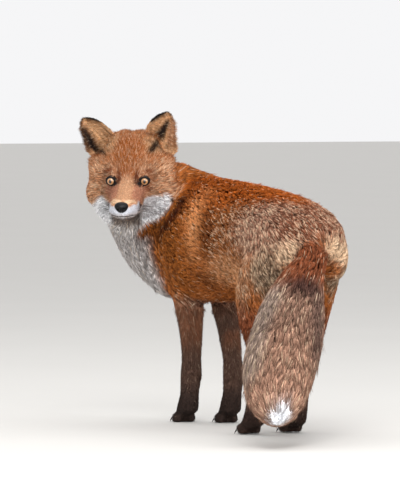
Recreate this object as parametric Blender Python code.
"""Red fox, life size, standing and looking back over its left shoulder.

A still museum model, out to the tips of the winter coat. The flesh is lofted from a few
named slices for the trunk, neck, head, legs and tail, fused, smoothed and then parted with
thin cuts into the parts that a person would name. Eyes, nose leather, ears and claws are
pieces of their own.

Run with: blender --background --python part.py
Metres, +Z up. The fox's body points along -X, and its left side faces -Y.
"""

import math

import bmesh
import bpy
from mathutils import Matrix, Vector

CM = 0.01

# ---------------------------------------------------------------------------
# Driving sizes, in centimetres. Body places are (forward, left, up) from a point
# on the floor under the tail base.
# ---------------------------------------------------------------------------
WITHERS = 40.0  # height of the coat over the shoulders
SPINE = 31.0  # height of the trunk's widest line
GROIN = 21.2  # just under the belly, where the thigh comes free inside
SHANK_TOP = 17.5  # where the thigh ends and the lower leg begins
HOCK_CUT = 10.6  # where the lower leg ends and the hind foot begins
ELBOW_CUT = 19.4  # just under the chest, where the foreleg comes free
WRIST_CUT = 8.2  # where the foreleg ends and the forepaw begins
WAIST = 25.5  # how far forward the trunk is parted into rump and chest

EYE_SPACING = 5.3  # pupil to pupil
EYE_RADIUS = 0.88
EYE_POINT = (40.0, 15.65, 39.5)  # body place of the point midway between the eyes
HEAD_TURN = 150.0  # degrees that the face has turned left from straight ahead
HEAD_DIP = 15.0  # degrees that the muzzle points below level

SOLE_LEVEL = 0.45  # how much of the rounded pads is pressed flat
GAP = 0.04  # width of the cuts between parts, and of the clearance round set-in pieces
VOXEL = 0.30  # grain of the fused flesh before it is thinned
BLEND_STEPS = 9  # smoothing passes that turn the fused slices into one hide
FLESH_TRIANGLES = 3150  # what the whole hide is thinned to


def body(forward, left, up):
    """A body place in centimetres as a point in metres."""
    return Vector((-forward, -left, up)) * CM


def heading(degrees):
    """The level direction that many degrees left of straight ahead, as body axes."""
    angle = math.radians(degrees)
    return Vector((-math.cos(angle), -math.sin(angle), 0.0))


def head_matrix():
    """Head axes as columns: out along the muzzle, to the fox's left, and up through the crown."""
    level = heading(HEAD_TURN)
    dip = math.radians(HEAD_DIP)
    muzzle = level * math.cos(dip) - Vector((0, 0, 1)) * math.sin(dip)
    crown = level * math.sin(dip) + Vector((0, 0, 1)) * math.cos(dip)
    left = crown.cross(muzzle)
    turn = Matrix((muzzle, left, crown)).transposed().to_4x4()
    return Matrix.Translation(body(*EYE_POINT)) @ turn


HEAD = head_matrix()
HEAD_TURNED = HEAD.to_3x3()


def on_head(muzzle, left, crown):
    """A head place in centimetres, from the point between the eyes, as a point in metres."""
    return HEAD @ (Vector((muzzle, left, crown)) * CM)


def head_way(muzzle, left, crown):
    """A direction on the head as a direction in the part's frame."""
    return (HEAD_TURNED @ Vector((muzzle, left, crown))).normalized()


# ---------------------------------------------------------------------------
# Tools: lofts, soft masses, Booleans and cuts
# ---------------------------------------------------------------------------
def new_object(name, bm):
    """A mesh object from a bmesh, smooth shaded, with its faces pointing out."""
    bm.normal_update()
    bmesh.ops.recalc_face_normals(bm, faces=bm.faces)
    mesh = bpy.data.meshes.new(name)
    bm.to_mesh(mesh)
    bm.free()
    mesh.shade_smooth()
    obj = bpy.data.objects.new(name, mesh)
    bpy.context.scene.collection.objects.link(obj)
    return obj


def discard(*objects):
    for obj in objects:
        bpy.data.objects.remove(obj)


def loft(name, rings):
    """One closed skin through rings of points, with strips from side to side over each end."""
    bm = bmesh.new()
    made = [[bm.verts.new(point) for point in ring] for ring in rings]
    count = len(rings[0])
    for near, far in zip(made, made[1:]):
        for i in range(count):
            j = (i + 1) % count
            bm.faces.new((near[i], near[j], far[j], far[i]))
    for ring in (made[0], made[-1]):
        for i in range(count // 2 - 1):
            bm.faces.new((ring[i], ring[i + 1], ring[count - 2 - i], ring[count - 1 - i]))
    return new_object(name, bm)


def through(rows, steps):
    """Rows of numbers joined by a smooth curve, with this many steps between each two."""
    found = []
    last = len(rows) - 1
    for k in range(last):
        a, b, c, d = (rows[max(0, min(last, k + i))] for i in (-1, 0, 1, 2))
        for step in range(steps):
            t = step / steps
            found.append(
                [
                    q + 0.5 * t * (r - p + t * (2 * p - 5 * q + 4 * r - s + t * (3 * (q - r) + s - p)))
                    for p, q, r, s in zip(a, b, c, d)
                ]
            )
    found.append(list(rows[-1]))
    return found


def oval(centre, side, rise, width, above, below, sides):
    """A ring: width is its half-width, above and below its reach each way along rise."""
    ring = []
    for i in range(sides):
        turn = 2 * math.pi * i / sides
        reach = above if math.sin(turn) > 0 else below
        ring.append(centre + (side * width * math.cos(turn) + rise * reach * math.sin(turn)) * CM)
    return ring


END_ROUNDING = 0.55  # how far a lofted form's end stands out, as a share of its half-width


def slices(name, rows, place, axes=None, sides=28, steps=4):
    """A limb or trunk lofted through slices (three place numbers, half-width, above, below).

    place turns the first three numbers into a point. Slices keep the given (side, rise) axes,
    or stand square to the path when axes is None. Both ends are rounded over.
    """
    rows = through(rows, steps)
    points = [place(*row[:3]) for row in rows]
    rings = []
    for k, row in enumerate(rows):
        if axes:
            side, rise = axes
        else:
            along = (points[min(k + 1, len(rows) - 1)] - points[max(k - 1, 0)]).normalized()
            side = Vector((0, 0, 1)).cross(along).normalized()
            rise = along.cross(side)
        rings.append(oval(points[k], side, rise, *row[3:], sides))
    ends = []
    for k, neighbour in ((0, 1), (-1, -2)):
        out = (points[k] - points[neighbour]).normalized()
        middle = sum(rings[k], Vector()) / sides
        depth = END_ROUNDING * min(rows[k][3:]) * CM
        cap = []
        for angle in (30, 55, 75):
            shrink = math.cos(math.radians(angle))
            lift = math.sin(math.radians(angle)) * depth
            cap.append([middle + (point - middle) * shrink + out * lift for point in rings[k]])
        ends.append(cap)
    return loft(name, ends[0][::-1] + rings + ends[1])


def mass(name, centre, radii, turn=None, grain=3):
    """A soft mass: a ball of three half-sizes in centimetres, turned by a rotation matrix."""
    bm = bmesh.new()
    bmesh.ops.create_icosphere(bm, subdivisions=grain, radius=1.0)
    size = Matrix.Diagonal(Vector(radii) * CM).to_4x4()
    turn = turn.to_4x4() if turn else Matrix.Identity(4)
    bmesh.ops.transform(bm, matrix=Matrix.Translation(centre) @ turn @ size, verts=bm.verts)
    return new_object(name, bm)


def settle(obj):
    """Replaces an object's mesh by what its modifiers make of it."""
    graph = bpy.context.evaluated_depsgraph_get()
    mesh = bpy.data.meshes.new_from_object(obj.evaluated_get(graph))
    obj.modifiers.clear()
    obj.data = mesh
    return obj


def largest_body(obj):
    """Keeps the largest connected piece of a mesh, and welds what a cut left doubled."""
    bm = bmesh.new()
    bm.from_mesh(obj.data)
    bmesh.ops.remove_doubles(bm, verts=bm.verts, dist=1e-6)
    bmesh.ops.dissolve_degenerate(bm, edges=bm.edges, dist=1e-5)
    waiting = set(bm.faces)
    bodies = []
    while waiting:
        group = [waiting.pop()]
        for face in group:
            for edge in face.edges:
                for other in edge.link_faces:
                    if other in waiting:
                        waiting.remove(other)
                        group.append(other)
        bodies.append(group)
    bodies.sort(key=len)
    for group in bodies[:-1]:
        bmesh.ops.delete(bm, geom=group, context="FACES")
    bm.to_mesh(obj.data)
    bm.free()
    return obj


def combine(obj, other, operation):
    """A Boolean of two solids, applied at once. The other solid stays as it is."""
    modifier = obj.modifiers.new(operation, "BOOLEAN")
    modifier.operation = operation
    modifier.object = other
    modifier.solver = "EXACT"
    settle(obj)
    return largest_body(obj)


def copy_of(obj, name):
    twin = bpy.data.objects.new(name, obj.data.copy())
    bpy.context.scene.collection.objects.link(twin)
    return twin


def grown(obj, name, distance):
    """A copy whose faces all lie this many centimetres further out."""
    twin = copy_of(obj, name)
    modifier = twin.modifiers.new("grow", "DISPLACE")
    modifier.strength = distance * CM
    modifier.mid_level = 0.0
    return settle(twin)


def box(name, low, high, frame=None):
    """A box between two corners in centimetres, in body places or in a frame's own axes."""
    bm = bmesh.new()
    bmesh.ops.create_cube(bm, size=1.0)
    middle = (Vector(low) + Vector(high)) / 2
    size = Vector(high) - Vector(low)
    for vert in bm.verts:
        corner = middle + Vector(a * b for a, b in zip(vert.co, size))
        vert.co = frame @ (corner * CM) if frame else body(*corner)
    return new_object(name, bm)


def take(rest, name, cell, wider):
    """Parts a piece off: the piece is what lies in cell, and rest loses what lies in wider."""
    piece = combine(copy_of(rest, name), cell, "INTERSECT")
    combine(rest, wider, "DIFFERENCE")
    discard(cell, wider)
    return piece


def take_box(rest, name, low, high, frame=None):
    """Parts off what lies in a box, leaving a thin gap round it."""
    wide_low = [a - GAP for a in low]
    wide_high = [a + GAP for a in high]
    cell = box("cell", low, high, frame)
    return take(rest, name, cell, box("wider", wide_low, wide_high, frame))


def cut_across(obj, near_name, far_name, point, normal):
    """Parts one piece in two at a plane, with a thin gap between. The far side is a new piece."""
    far = copy_of(obj, far_name)
    obj.name = near_name
    for piece, side in ((obj, -1), (far, 1)):
        bm = bmesh.new()
        bm.from_mesh(piece.data)
        cut = bmesh.ops.bisect_plane(
            bm,
            geom=bm.verts[:] + bm.edges[:] + bm.faces[:],
            plane_co=point + normal * side * GAP * CM / 2,
            plane_no=normal,
            clear_inner=side > 0,
            clear_outer=side < 0,
        )
        edges = [e for e in cut["geom_cut"] if isinstance(e, bmesh.types.BMEdge)]
        bmesh.ops.triangle_fill(bm, use_beauty=True, edges=edges)
        bm.normal_update()
        bmesh.ops.recalc_face_normals(bm, faces=bm.faces)
        bm.to_mesh(piece.data)
        bm.free()
        largest_body(piece)
    return obj, far


# ---------------------------------------------------------------------------
# Materials: the plain colour of each kind of coat or leather
# ---------------------------------------------------------------------------
COLOURS = {
    "russet_coat": ((0.42, 0.15, 0.045), 0.8),
    "grizzled_coat": ((0.28, 0.14, 0.08), 0.85),
    "white_coat": ((0.62, 0.58, 0.54), 0.8),
    "dark_stocking": ((0.05, 0.035, 0.03), 0.8),
    "ear_coat": ((0.20, 0.11, 0.06), 0.8),
    "nose_leather": ((0.02, 0.018, 0.02), 0.35),
    "amber_eye": ((0.55, 0.28, 0.08), 0.08),
    "claw_horn": ((0.05, 0.04, 0.035), 0.4),
}


def finish(name):
    """The Principled material of that name, made once."""
    material = bpy.data.materials.get(name)
    if material is None:
        colour, roughness = COLOURS[name]
        material = bpy.data.materials.new(name)
        material.use_nodes = True
        shader = material.node_tree.nodes["Principled BSDF"]
        shader.inputs["Base Color"].default_value = (*colour, 1.0)
        shader.inputs["Roughness"].default_value = roughness
    return material


def wear(obj, name):
    obj.data.materials.clear()
    obj.data.materials.append(finish(name))


# ---------------------------------------------------------------------------
# The flesh: trunk, neck, head, legs and tail, each lofted from a few slices
# ---------------------------------------------------------------------------
LEVEL_AXES = (Vector((0, -1, 0)), Vector((-1, 0, 0)))  # across, and forward: for legs
UPRIGHT_AXES = (Vector((0, -1, 0)), Vector((0, 0, 1)))  # across, and up: for the trunk

# forward, left, up, half-width, reach above, reach below
TRUNK = [
    (-1.0, 0.0, 30.4, 2.6, 2.8, 2.4),
    (2.0, 0.0, 30.4, 5.0, 4.2, 4.4),
    (6.0, 0.0, 30.6, 6.7, 5.7, 6.4),
    (11.0, 0.0, SPINE, 7.4, 6.4, 8.6),
    (17.0, 0.1, SPINE, 7.4, 7.2, 9.2),
    (23.0, 0.4, SPINE, 7.2, 7.8, 9.6),
    (30.0, 1.0, SPINE, 7.8, 8.4, 10.6),
    (36.0, 1.7, SPINE, 8.0, 8.8, 11.1),
    (41.0, 2.2, SPINE, 7.5, WITHERS - SPINE, 11.0),
    (46.0, 2.8, 30.5, 6.4, 8.2, 8.8),
    (49.5, 3.4, 29.6, 4.4, 5.4, 5.6),
]
NECK = [
    (39.5, 1.0, 30.5, 6.6, 8.9, 7.0),
    (44.0, 3.0, 31.5, 7.0, 9.4, 7.4),
    (46.9, 6.4, 33.3, 7.0, 8.8, 7.2),
    (47.4, 9.8, 35.3, 6.5, 7.4, 6.6),
    (46.2, 12.4, 37.4, 5.8, 6.2, 5.8),
]
# The long fur of the throat, down from the chin to the breast
RUFF = [
    (45.0, 12.6, 34.6, 5.2, 4.6, 4.6),
    (46.6, 10.4, 31.4, 5.2, 4.6, 4.8),
    (47.6, 8.2, 28.0, 5.0, 4.4, 4.8),
    (47.3, 6.4, 25.2, 4.2, 4.0, 4.0),
    (45.8, 5.2, 22.6, 3.2, 3.2, 3.2),
]
# out along the muzzle, left, crown, half-width, reach above, reach below
SKULL = [
    (-10.2, 0.0, -1.0, 4.0, 4.4, 4.2),
    (-8.2, 0.0, -1.5, 5.9, 7.0, 5.4),
    (-6.0, 0.0, -2.0, 6.9, 8.2, 5.7),
    (-4.0, 0.0, -2.4, 7.1, 8.0, 5.3),
    (-2.0, 0.0, -2.5, 6.0, 6.5, 4.7),
    (0.0, 0.0, -2.4, 4.0, 4.3, 4.0),
    (1.4, 0.0, -2.5, 2.85, 3.15, 3.3),
    (3.0, 0.0, -2.7, 2.65, 2.75, 2.75),
    (5.0, 0.0, -2.85, 2.3, 2.25, 2.4),
    (6.8, 0.0, -2.85, 2.0, 1.85, 2.1),
    (7.9, 0.0, -2.7, 1.5, 1.35, 1.6),
]
# A room just wide enough for the head, which parts it from the neck and the shoulder behind
HEAD_ROOM = [
    (-10.9, 0.0, -1.0, 4.6, 5.2, 4.8),
    (-8.6, 0.0, -1.4, 7.2, 9.0, 6.6),
    (-4.4, 0.0, -2.2, 8.2, 11.5, 6.6),
    (0.0, 0.0, -2.4, 8.0, 9.5, 6.8),
    (9.5, 0.0, -2.6, 5.0, 5.0, 5.0),
]
TAIL = [
    (2.5, 0.0, 31.4, 2.2, 2.2, 2.2),
    (-1.0, 1.7, 28.4, 2.3, 2.2, 2.3),
    (-2.4, 4.0, 25.2, 3.4, 3.0, 3.3),
    (-3.2, 5.5, 22.2, 4.5, 4.1, 4.3),
    (-4.0, 6.8, 19.0, 5.3, 4.9, 5.0),
    (-5.2, 8.1, 15.6, 5.7, 5.3, 5.2),
    (-7.2, 9.9, 12.2, 5.7, 5.4, 5.1),
    (-10.2, 11.8, 9.2, 5.1, 5.0, 4.6),
    (-13.8, 13.4, 6.8, 3.9, 3.8, 3.5),
    (-16.6, 14.5, 5.4, 2.3, 2.2, 2.1),
    (-18.4, 15.2, 4.6, 0.8, 0.8, 0.8),
]
TAIL_CUTS = (5, 8)  # the slices at which the tail is parted into its three lengths
TAIL_SPARE = 0.9  # how far the tail's cutting form stands out all round it
# Legs run downwards: half-width, reach forwards, reach backwards
HIND_LEG = [
    (8.5, 4.0, 31.5, 3.4, 6.2, 6.2),
    (10.3, 4.6, 26.8, 3.6, 6.4, 6.9),
    (12.4, 5.1, 22.4, 3.3, 5.0, 6.2),
    (12.3, 5.3, 18.2, 2.7, 3.3, 4.5),
    (10.9, 5.3, 14.4, 2.05, 2.2, 3.0),
    (9.9, 5.2, 11.2, 1.75, 1.8, 2.2),
    (10.2, 5.1, 7.6, 1.6, 1.55, 1.6),
    (11.3, 5.1, 4.2, 1.7, 1.7, 1.7),
    (12.4, 5.1, 2.0, 1.9, 2.2, 1.8),
]
FORE_LEG = [
    (42.0, 4.2, 33.0, 2.8, 4.2, 4.6),
    (43.5, 4.9, 28.0, 3.0, 4.4, 4.8),
    (43.0, 4.9, 23.5, 2.8, 3.5, 4.2),
    (42.0, 4.6, 19.6, 2.35, 2.5, 3.0),
    (41.7, 4.3, 15.4, 1.95, 1.9, 2.2),
    (41.9, 4.1, 11.2, 1.65, 1.65, 1.75),
    (42.3, 4.0, 8.4, 1.75, 1.7, 1.8),
    (42.8, 4.0, 5.4, 1.6, 1.6, 1.6),
    (43.7, 4.0, 2.6, 1.9, 2.1, 1.8),
]
# How each leg stands: its slices, its side, and how far ahead and outward it is set,
# first at the hip or shoulder and then at the foot
STANCE = {
    "hind_left": (HIND_LEG, 1, (0.0, 0.0), (1.4, 0.3)),
    "hind_right": (HIND_LEG, -1, (0.2, -1.2), (2.2, -3.1)),
    "fore_left": (FORE_LEG, 1, (0.0, 0.0), (0.0, 0.0)),
    "fore_right": (FORE_LEG, -1, (1.2, -2.6), (-4.2, -2.4)),
}
LEAN_TOP = 21.0  # heights between which a leg leans from its first setting to its second
LEAN_FOOT = 8.5
MIDLINE = {"hind": 0.9, "fore": 1.3}  # how far left the line between each pair of feet lies
# Toes of one paw: ahead of the last slice, across, height, and the three half-sizes
TOES = [
    (1.5, -1.35, 1.15, 1.35, 0.72, 1.0),
    (2.5, -0.48, 1.2, 1.55, 0.72, 1.1),
    (2.5, 0.48, 1.2, 1.55, 0.72, 1.1),
    (1.5, 1.35, 1.15, 1.35, 0.72, 1.0),
]
TOE_SPREAD = 9.0  # degrees each toe turns out from its neighbour
CLAW_LENGTH = 1.0
CLAW_RADIUS = 0.2


def leg_rows(leg):
    """The slices of one leg where it stands."""
    rows, side, upper, lower = STANCE[leg]
    placed = []
    for forward, left, up, *sizes in rows:
        share = min(1.0, max(0.0, (LEAN_TOP - up) / (LEAN_TOP - LEAN_FOOT)))
        ahead, out = (a + (b - a) * share for a, b in zip(upper, lower))
        placed.append((forward + ahead, side * (left + out), up, *sizes))
    return placed


def toe_places(leg):
    """For each toe of a leg: its middle, its half-sizes and its turn."""
    forward, left, _, *_ = leg_rows(leg)[-1]
    found = []
    for number, (ahead, across, up, *sizes) in enumerate(TOES):
        turn = math.radians((number - 1.5) * TOE_SPREAD)
        found.append((body(forward + ahead, left + across, up), sizes, turn))
    return found


# Rounded masses that fill out the lofted forms: a place, then three half-sizes
SOFT_MASSES = [
    ((44.7, 5.2, 36.8), (4.1, 4.3, 5.1)),  # nape
    ((46.4, 4.6, 27.2), (4.4, 5.2, 6.2)),  # breast
]
PAIRED_MASSES = [
    ((4.6, 3.7, 28.0), (3.6, 2.6, 4.2)),  # long fur under each side of the tail
    ((9.8, 4.2, 29.2), (7.2, 3.4, 5.4)),  # haunch
]
# On the head: out along the muzzle, out to the side, and towards the crown
FACE_MASSES = [
    ((-3.6, 5.0, -3.1), (2.6, 2.6, 2.8)),  # cheek
    ((-4.0, 5.0, 0.2), (2.6, 2.1, 3.0)),  # side of the brow
    ((-1.3, 2.7, 1.2), (1.5, 1.5, 0.8)),  # ridge over the eye
    ((6.2, 1.05, -3.2), (1.7, 1.15, 1.25)),  # whisker pad
    ((5.0, 0.1, -4.7), (1.7, 1.3, 1.0)),  # chin
    ((-3.8, 1.6, -5.4), (4.2, 4.7, 3.3)),  # throat
    ((-6.2, 1.3, 3.0), (3.6, 3.2, 3.5)),  # crown between the ears
]


def flesh_pieces():
    """Every closed form that is fused into the hide."""
    made = [
        slices("trunk_form", TRUNK, body, UPRIGHT_AXES, sides=36),
        slices("neck_form", NECK, body, sides=32),
        slices("ruff_form", RUFF, body, sides=28),
        slices("head_form", SKULL, on_head, sides=36),
        slices("tail_form", TAIL, body, sides=28),
    ]
    for leg in STANCE:
        made.append(slices(leg + "_form", leg_rows(leg), body, LEVEL_AXES))
        for middle, sizes, turn in toe_places(leg):
            made.append(mass("toe_form", middle, sizes, Matrix.Rotation(turn, 3, "Z")))
    for at, sizes in SOFT_MASSES:
        made.append(mass("soft_form", body(*at), sizes))
    for side in (1, -1):
        for (ahead, left, up), sizes in PAIRED_MASSES:
            made.append(mass("soft_form", body(ahead, side * left, up), sizes))
        for (ahead, left, up), sizes in FACE_MASSES:
            made.append(mass("soft_form", on_head(ahead, side * left, up), sizes, HEAD_TURNED))
    return made


def fuse(pieces, name):
    """One hide over all the forms: voxels fuse them, smoothing blends them, then it is thinned."""
    joined = bmesh.new()
    for piece in pieces:
        joined.from_mesh(piece.data)
    discard(*pieces)
    hide = new_object(name, joined)
    remesh = hide.modifiers.new("fuse", "REMESH")
    remesh.mode = "VOXEL"
    remesh.voxel_size = VOXEL * CM
    blend = hide.modifiers.new("blend", "SMOOTH")
    blend.factor = 0.5
    blend.iterations = BLEND_STEPS
    settle(hide)
    largest_body(hide)
    thin = hide.modifiers.new("thin", "DECIMATE")
    thin.ratio = FLESH_TRIANGLES / (2 * len(hide.data.polygons))
    return settle(hide)


def stand_flat(hide):
    """Cuts the soles level at the floor, so that the fox stands on four small flats."""
    floor = box("floor_cell", (-60, -60, -20), (90, 60, SOLE_LEVEL))
    combine(hide, floor, "DIFFERENCE")
    discard(floor)


# ---------------------------------------------------------------------------
# The ears: upright cups of hide, open to the front
# ---------------------------------------------------------------------------
EAR_CUP = 2.0  # how far the middle of the cup lies behind its edges, at the root
EAR_WALL = 0.75  # thickness of wall and fur in the middle
EAR_RIM = 0.3
EAR_FACING = 24.0  # degrees that the open side looks out from straight ahead
# Head places of each ear's inner root, outer root and tip
EARS = {
    "ear_left": ((-5.5, 1.95, 6.0), (-6.1, 6.3, 1.7), (-6.5, 6.0, 9.2)),
    "ear_right": ((-5.5, -2.6, 6.0), (-6.1, -6.7, 1.7), (-6.5, -7.9, 8.2)),
}


def ear_ring(share, points, facing, sides=7):
    """The crescent slice of an ear at a share of its height: round the back, then up the front."""
    inner, outer, tip = points
    root = (inner + outer) / 2
    middle = root.lerp(tip, share)
    level = facing.cross(tip - root).normalized()
    if level.dot(outer - inner) < 0:
        level = -level
    across = (outer - inner).normalized().lerp(level, max(0.0, share)).normalized()
    back = -(facing - across * facing.dot(across)).normalized()
    narrowing = (1.0 - max(0.0, share) ** 3.2) ** 0.6
    half = (outer - inner).length / 2 * narrowing * (1.0 - 0.12 * share)
    cup = EAR_CUP * CM * (1.0 - 0.7 * share) * (0.3 + 0.7 * narrowing)
    ring = []
    for face in (1, -1):
        for i in range(sides):
            s = (-1 + 2 * (i + 0.5) / sides) * face
            wall = (EAR_RIM + (EAR_WALL - EAR_RIM) * (1 - s * s)) * min(1.0, 0.35 + narrowing) * CM
            depth = cup * (1 - s * s) + face * wall / 2
            ring.append(middle + across * s * half + back * depth)
    return ring


def ear(name):
    """One ear, from a root that starts inside the crown to its rounded tip."""
    side = 1 if name == "ear_left" else -1
    turn = math.radians(EAR_FACING)
    facing = head_way(math.cos(turn), side * math.sin(turn), 0)
    points = [on_head(*point) for point in EARS[name]]
    shares = [-0.3, -0.05, 0.15, 0.35, 0.52, 0.68, 0.81, 0.91, 0.97, 0.995]
    return loft(name, [ear_ring(share, points, facing) for share in shares])


# ---------------------------------------------------------------------------
# Eyes, nose leather and claws
# ---------------------------------------------------------------------------
EYE_DEPTH = 0.5  # how far ahead of the eye point each eyeball's middle lies
EYE_OUTLOOK = (1.0, 0.45, 0.12)  # the way an eye faces: ahead, out and up
NOSE_PLACE = (8.15, 0.0, -2.2)
NOSE_SIZES = (0.85, 1.12, 0.9)


def eye(name, side):
    """An eyeball, a plain ball that the lids of the coat close over."""
    bm = bmesh.new()
    bmesh.ops.create_uvsphere(bm, u_segments=14, v_segments=8, radius=EYE_RADIUS * CM)
    middle = on_head(EYE_DEPTH, side * EYE_SPACING / 2, 0.0)
    ahead, out, raised = EYE_OUTLOOK
    face_on = Vector((0, 0, 1)).rotation_difference(head_way(ahead, side * out, raised))
    place = Matrix.Translation(middle) @ face_on.to_matrix().to_4x4()
    bmesh.ops.transform(bm, matrix=place, verts=bm.verts)
    return new_object(name, bm)


def nose_leather():
    """The nose pad: a rounded block, broad at the top and narrowed below, with two nostrils."""
    bm = bmesh.new()
    bmesh.ops.create_icosphere(bm, subdivisions=3, radius=1.0)
    for vert in bm.verts:
        x, y, z = vert.co
        y *= 0.80 + 0.26 * z  # broad above, narrow at the lip
        x *= 1.0 - 0.18 * max(0.0, -z)
        for side in (1, -1):
            away = (Vector((x, y, z)) - Vector((0.86, side * 0.52, -0.16))).length
            x -= 0.30 * math.exp(-((away / 0.26) ** 2))
        vert.co = Vector(NOSE_PLACE) + Vector(a * b for a, b in zip((x, y, z), NOSE_SIZES))
        vert.co = HEAD @ (vert.co * CM)
    return new_object("nose", bm)


def claw(name, middle, sizes, turn):
    """A curved, tapering claw that comes out of the front of a toe."""
    ahead = Vector((-math.cos(turn), -math.sin(turn), 0))
    side = Vector((0, 0, 1)).cross(ahead)
    start = middle + ahead * (sizes[0] - 0.35) * CM
    rings = []
    steps = 4
    for k in range(steps):
        share = k / (steps - 1)
        bend = math.radians(8 + 50 * share)
        along = ahead * math.cos(bend) - Vector((0, 0, 1)) * math.sin(bend)
        if k:
            start = start + along * CLAW_LENGTH / (steps - 1) * CM
        rise = along.cross(side)
        radius = CLAW_RADIUS * (1 - 0.82 * share)
        rings.append(oval(start, side, rise, radius * 0.8, radius, radius, 6))
    return loft(name, rings)


# ---------------------------------------------------------------------------
# Building it
# ---------------------------------------------------------------------------
THIGH_ROOM = ((9.6, 8.3, 24.4), (9.8, 7.0, 9.4))  # the rounded room that parts off a thigh
LEG_REACH = {"hind": (-1, 24), "fore": (32, 55)}  # how far back and forward the legs reach
LEG_OUT = 14  # more than any leg reaches out from the middle


def part_legs(rest):
    """Parts each leg from the trunk, and each into its named lengths."""
    down = Vector((0, 0, -1))
    for word, side in (("left", 1), ("right", -1)):
        back, front = LEG_REACH["hind"]
        inner = MIDLINE["hind"] + side * 2 * GAP
        low, high = sorted((inner, inner + side * LEG_OUT))
        shank = take_box(rest, "hind_shank_" + word, (back, low, -1), (front, high, SHANK_TOP))
        cut_across(shank, shank.name, "hind_foot_" + word, body(0, 0, HOCK_CUT), down)
        (ahead, left, up), sizes = THIGH_ROOM
        cell = mass("cell", body(ahead, side * left, up), sizes, grain=2)
        under = box("under", (back, low, SHANK_TOP - 1), (front, high, GROIN))
        combine(cell, under, "UNION")
        discard(under)
        take(rest, "hind_thigh_" + word, cell, grown(cell, "wider", 1.3 * GAP))
        back, front = LEG_REACH["fore"]
        inner = MIDLINE["fore"] + side * 2 * GAP
        low, high = sorted((inner, inner + side * LEG_OUT))
        arm = take_box(rest, "foreleg_" + word, (back, low, -1), (front, high, ELBOW_CUT))
        cut_across(arm, arm.name, "forepaw_" + word, body(0, 0, WRIST_CUT), down)


def part_tail(rest):
    """Parts the tail off along its own form, and into three lengths."""
    rows = [(*row[:3], *(size + TAIL_SPARE for size in row[3:])) for row in TAIL[1:]]
    cell = slices("cell", rows, body, sides=14, steps=2)
    tail = take(rest, "tail_root", cell, grown(cell, "wider", 1.6 * GAP))
    for number, name in zip(TAIL_CUTS, ("tail_brush", "tail_tip")):
        here, ahead = (body(*TAIL[k][:3]) for k in (number, number + 1))
        _, tail = cut_across(tail, tail.name, name, here, (ahead - here).normalized())


JAW_ROOM = ((0.8, -6.0, -12.0), (12.0, 6.0, -4.2))  # everything below the line of the mouth
NECK_CUT = (45.6, 3.4, 32.0)  # where the neck is parted from the chest


def part_head(rest):
    """Parts the head along its own form, then the lower jaw, the neck and the chest."""
    cell = slices("cell", HEAD_ROOM, on_head, sides=14, steps=2)
    head = take(rest, "head", cell, grown(cell, "wider", 1.6 * GAP))
    take_box(head, "lower_jaw", JAW_ROOM[0], JAW_ROOM[1], HEAD)
    way = (body(*NECK[2][:3]) - body(*NECK[0][:3])).normalized()
    trunk, _ = cut_across(rest, "rump", "neck", body(*NECK_CUT), way)
    cut_across(trunk, "rump", "chest", body(WAIST, 0, 0), Vector((-1, 0, 0)))
    return head


def set_on(base, pieces):
    """Trims pieces back to just clear of the form that they grow from."""
    clearance = grown(base, "clearance", GAP)
    for piece in pieces:
        combine(piece, clearance, "DIFFERENCE")
    discard(clearance)


def build():
    for obj in list(bpy.data.objects):
        bpy.data.objects.remove(obj)
    rest = fuse(flesh_pieces(), "hide")
    stand_flat(rest)
    part_tail(rest)
    part_legs(rest)
    head = part_head(rest)
    for piece in (nose_leather(), eye("eye_left", 1), eye("eye_right", -1)):
        socket = grown(piece, "socket", GAP)
        combine(head, socket, "DIFFERENCE")
        discard(socket)
    set_on(head, [ear(name) for name in EARS])
    for leg in STANCE:
        end, word = leg.split("_")
        paw = bpy.data.objects["forepaw_" + word if end == "fore" else "hind_foot_" + word]
        toes = enumerate(toe_places(leg), 1)
        set_on(paw, [claw(f"claw_{leg}_{number}", *toe) for number, toe in toes])


SHARP_EDGE = 50.0  # degrees: the cuts between parts stay crisp, the coat is shaded smooth


def dress():
    """Gives each part the material of its coat, leather or horn."""
    worn = {
        "nose": "nose_leather",
        "eye_left": "amber_eye",
        "eye_right": "amber_eye",
        "ear_left": "ear_coat",
        "ear_right": "ear_coat",
        "lower_jaw": "white_coat",
        "tail_tip": "white_coat",
        "rump": "grizzled_coat",
        "tail_brush": "grizzled_coat",
        "foreleg_left": "dark_stocking",
        "foreleg_right": "dark_stocking",
        "forepaw_left": "dark_stocking",
        "forepaw_right": "dark_stocking",
    }
    for obj in bpy.data.objects:
        plain = "claw_horn" if obj.name.startswith("claw_") else "russet_coat"
        wear(obj, worn.get(obj.name, plain))
        obj.data.set_sharp_from_angle(angle=math.radians(SHARP_EDGE))


def centre_on_floor():
    """Moves everything so that the origin lies on the floor, midway along and across."""
    corners = [vert.co for obj in bpy.data.objects for vert in obj.data.vertices]
    low = Vector(min(c[i] for c in corners) for i in range(3))
    high = Vector(max(c[i] for c in corners) for i in range(3))
    shift = Matrix.Translation(-Vector(((low.x + high.x) / 2, (low.y + high.y) / 2, low.z)))
    for obj in bpy.data.objects:
        obj.data.transform(shift)


build()
dress()
centre_on_floor()
